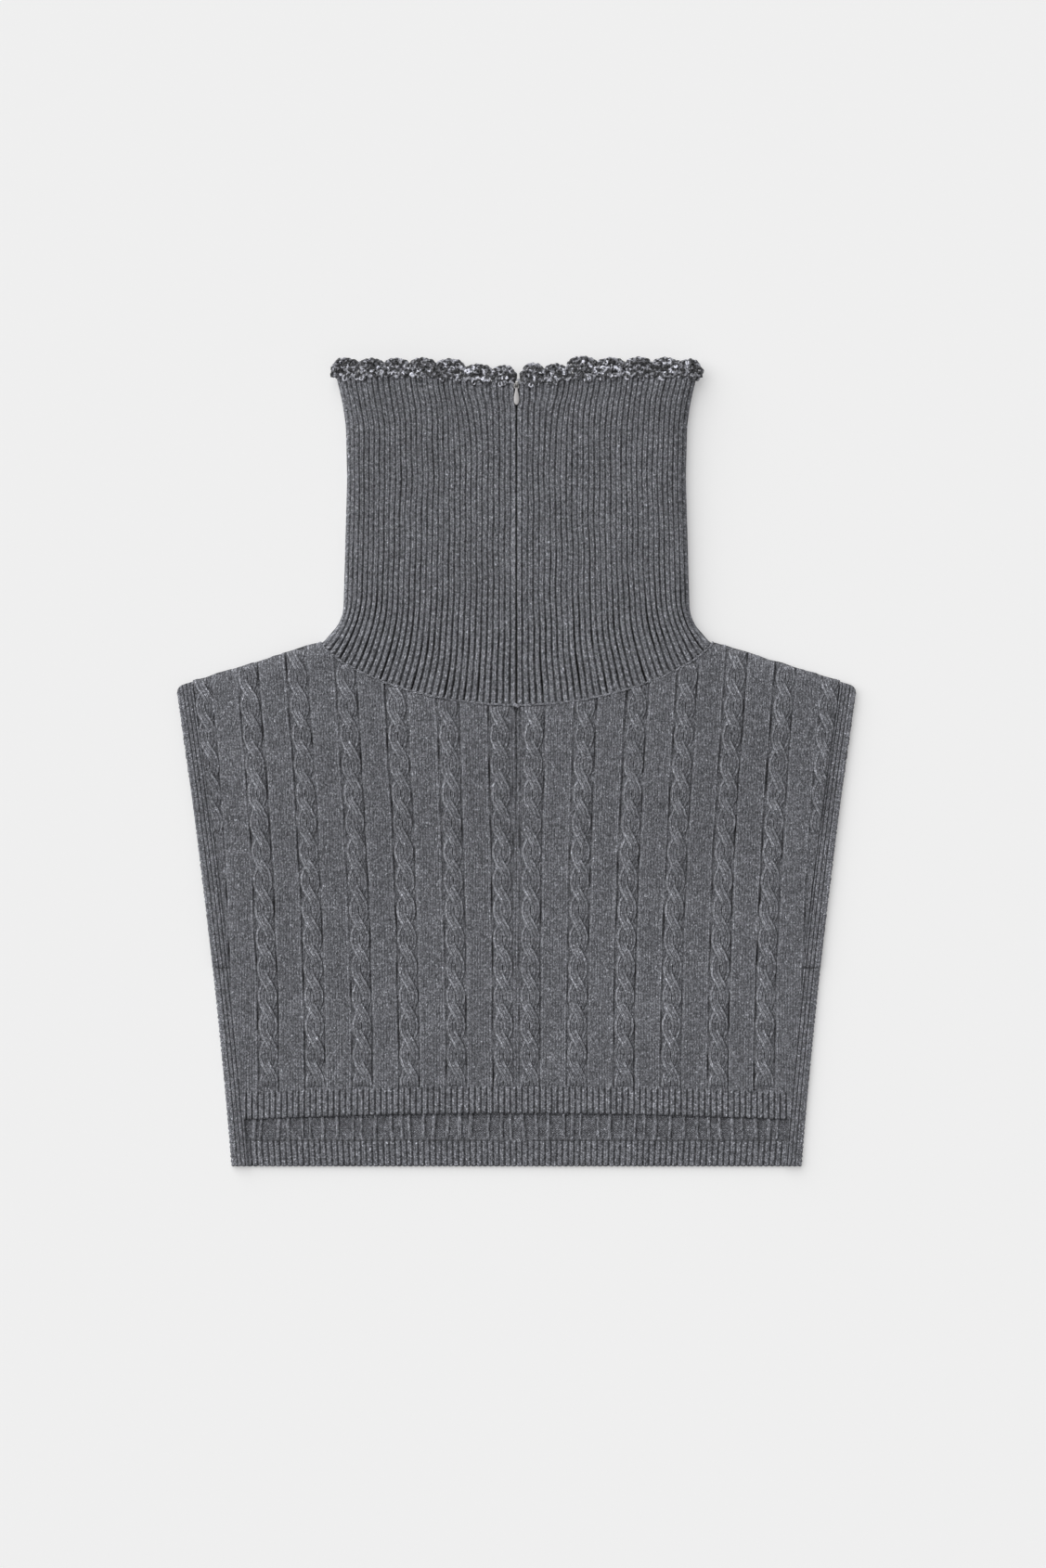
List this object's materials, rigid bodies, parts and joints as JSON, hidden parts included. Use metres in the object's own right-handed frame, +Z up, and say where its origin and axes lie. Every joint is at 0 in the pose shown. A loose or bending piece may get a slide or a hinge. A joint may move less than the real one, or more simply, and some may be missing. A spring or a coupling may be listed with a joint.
{
  "type": "knitted turtleneck dickey",
  "caption": "Cable-knit turtleneck dickey laid flat: ribbed funnel collar with a crocheted frill and a zip, short front panel over a longer back panel.",
  "frame": {"origin": "on the floor, at the middle of the flat-laid piece's box", "axes": "+Z up from the floor, towards the front of the dickey; +Y from the hem to the collar; +X across the shoulders"},
  "size_m": [0.3812, 0.4534, 0.0126],
  "materials": {
    "knit": "matte heathered grey wool",
    "crochet": "soft sheen twisted yarn",
    "zip_tape": "matte woven tape",
    "steel": "satin",
    "enamel": "satin grey paint"
  },
  "bodies": {
    "root": {"collar": "knit", "collar_frill": "crochet", "front_panel": "knit", "back_panel": "knit", "armhole_border_right": "knit", "armhole_border_left": "knit", "zip_tape": "zip_tape", "zip_slider": "steel"},
    "pull": {"zip_pull": "enamel"}
  },
  "joints": [
    {"name": "pull_hinge", "type": "hinge", "parent": "root", "child": "pull", "pos_m": [0, 0.21133, 0.0112], "axis": [-1, 0, 0], "range_deg": [0, 165]}
  ]
}
